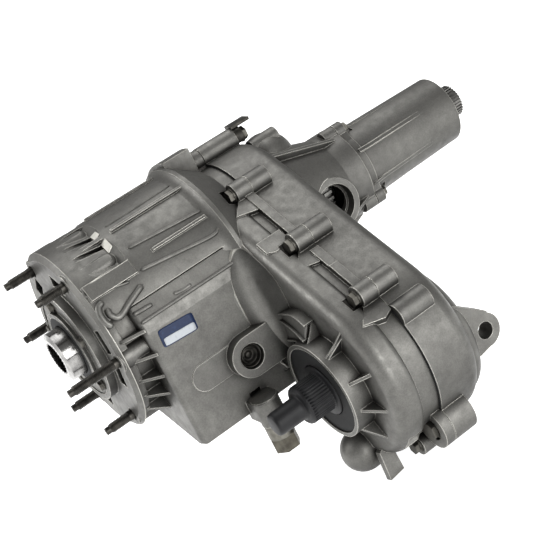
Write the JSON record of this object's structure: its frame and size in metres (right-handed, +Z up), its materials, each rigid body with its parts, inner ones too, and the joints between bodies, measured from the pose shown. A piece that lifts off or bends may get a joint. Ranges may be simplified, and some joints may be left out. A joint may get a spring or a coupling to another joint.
{
  "type": "transfer case",
  "caption": "Chain-driven all-wheel-drive transfer case: studded barrel with planetary centre differential, offset front output with finned mouth, long tail housing with splined shaft.",
  "frame": {"origin": "centre of the front mounting face, on the main shaft's axis", "axes": "+X rearward along the main shaft, +Y to the side away from the front output, +Z up"},
  "size_m": [0.5219, 0.3471, 0.3136],
  "materials": {
    "cast_front_case": "die-cast, matt grey",
    "cast_rear_case": "die-cast, matt grey",
    "cast_tail_housing": "die-cast, matt grey",
    "pump_casting": "die-cast, machined faces",
    "retainer_casting": "die-cast, machined face",
    "bright_steel": "ground",
    "gear_steel": "case-hardened",
    "chain_steel": "oiled",
    "dark_steel": "black oxide",
    "bolt_steel": "phosphated",
    "plug_steel": "phosphated",
    "fitting_steel": "plated, dull",
    "plated_steel": "zinc plated, dull",
    "seal_rubber": "moulded",
    "sealant": "cured bead",
    "gasket_fibre": "pressed fibre",
    "bushing_bronze": "bronze",
    "plug_plastic": "moulded, dark",
    "magnet": "sintered"
  },
  "bodies": {
    "case": {"front_case": "cast_front_case", "rear_case": "cast_rear_case", "tail_housing": "cast_tail_housing", "oil_pump_housing": "pump_casting", "input_bearing_outer": "bright_steel", "output_front_bearing_outer": "bright_steel", "output_rear_bearing_outer": "bright_steel", "rear_bearing_outer": "bright_steel", "input_snap_ring": "bright_steel", "rear_snap_ring": "bright_steel", "drive_chain": "chain_steel", "input_retainer": "retainer_casting", "transmission_studs": "dark_steel", "case_bolts": "bolt_steel", "heavy_bolt": "bolt_steel", "tail_bolts": "bolt_steel", "retainer_bolts": "bolt_steel", "bracket_bolt": "bolt_steel", "top_bracket": "dark_steel", "input_seal": "seal_rubber", "output_seal": "seal_rubber", "tail_seal": "seal_rubber", "case_gasket": "sealant", "tail_gasket": "gasket_fibre", "tail_bushing": "bushing_bronze", "drain_fitting": "fitting_steel", "drain_plug": "plated_steel", "fill_plug": "plug_steel", "sump_magnet": "magnet"},
    "input_train": {"input_shaft": "bright_steel", "carrier_drum": "gear_steel", "pinion_pins": "gear_steel", "planet_pinions": "gear_steel", "input_bearing_inner": "bright_steel", "pilot_bushing": "bushing_bronze"},
    "rear_train": {"rear_output_shaft": "gear_steel", "annulus_gear": "gear_steel", "rear_bearing_inner": "bright_steel", "tone_wheel": "gear_steel", "oil_pump_rotor": "gear_steel"},
    "front_drive": {"sun_gear": "gear_steel", "viscous_coupling": "gear_steel", "drive_sprocket": "gear_steel"},
    "front_output": {"front_output_shaft": "gear_steel", "driven_sprocket": "gear_steel", "output_front_bearing_inner": "bright_steel", "output_rear_bearing_inner": "bright_steel"},
    "plug": {"shipping_plug": "plug_plastic"}
  },
  "joints": [
    {"name": "input_spin", "type": "hinge", "parent": "case", "child": "input_train", "pos_m": [0, 0, 0], "axis": [1, 0, 0], "continuous": true},
    {"name": "rear_output_spin", "type": "hinge", "parent": "case", "child": "rear_train", "pos_m": [0.2, 0, 0], "axis": [1, 0, 0], "continuous": true},
    {"name": "front_drive_spin", "type": "hinge", "parent": "case", "child": "front_drive", "pos_m": [0.15, 0, 0], "axis": [1, 0, 0], "continuous": true},
    {"name": "front_output_spin", "type": "hinge", "parent": "case", "child": "front_output", "pos_m": [0.15, -0.16307, -0.10509], "axis": [1, 0, 0], "continuous": true},
    {"name": "plug_pull", "type": "slide", "parent": "front_output", "child": "plug", "axis": [-1, 0, 0], "range_m": [0, 0.06]}
  ],
  "couplings": [
    {"joint": "rear_output_spin", "follows": "input_spin", "ratio": 1},
    {"joint": "front_drive_spin", "follows": "input_spin", "ratio": 1},
    {"joint": "front_output_spin", "follows": "input_spin", "ratio": 1}
  ]
}
